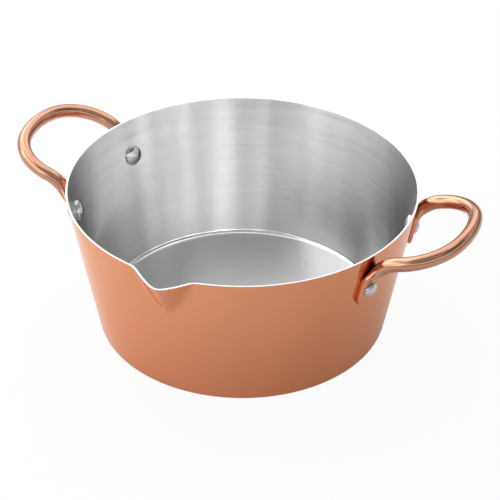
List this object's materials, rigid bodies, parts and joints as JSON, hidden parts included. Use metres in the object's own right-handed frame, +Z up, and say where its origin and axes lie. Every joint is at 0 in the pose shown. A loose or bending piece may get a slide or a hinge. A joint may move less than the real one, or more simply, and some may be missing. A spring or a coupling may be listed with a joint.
{
  "type": "deep fryer pot",
  "caption": "Small round deep fryer pot with a flared wall, a pressed pour spout and riveted rod loop handles.",
  "frame": {"origin": "middle of the base, on the surface that the pot stands on", "axes": "+Z up through the middle of the rim, the handles along X, the spout towards -Y"},
  "size_m": [0.2816, 0.2103, 0.1],
  "materials": {
    "clad_sheet": "satin copper outside, brushed silver inside",
    "copper_rod": "polished copper colour",
    "rivet_steel": "polished"
  },
  "bodies": {
    "root": {"pot_body": "clad_sheet", "left_handle": "copper_rod", "right_handle": "copper_rod", "rivet_left_front": "rivet_steel", "rivet_left_back": "rivet_steel", "rivet_right_front": "rivet_steel", "rivet_right_back": "rivet_steel"}
  },
  "joints": []
}
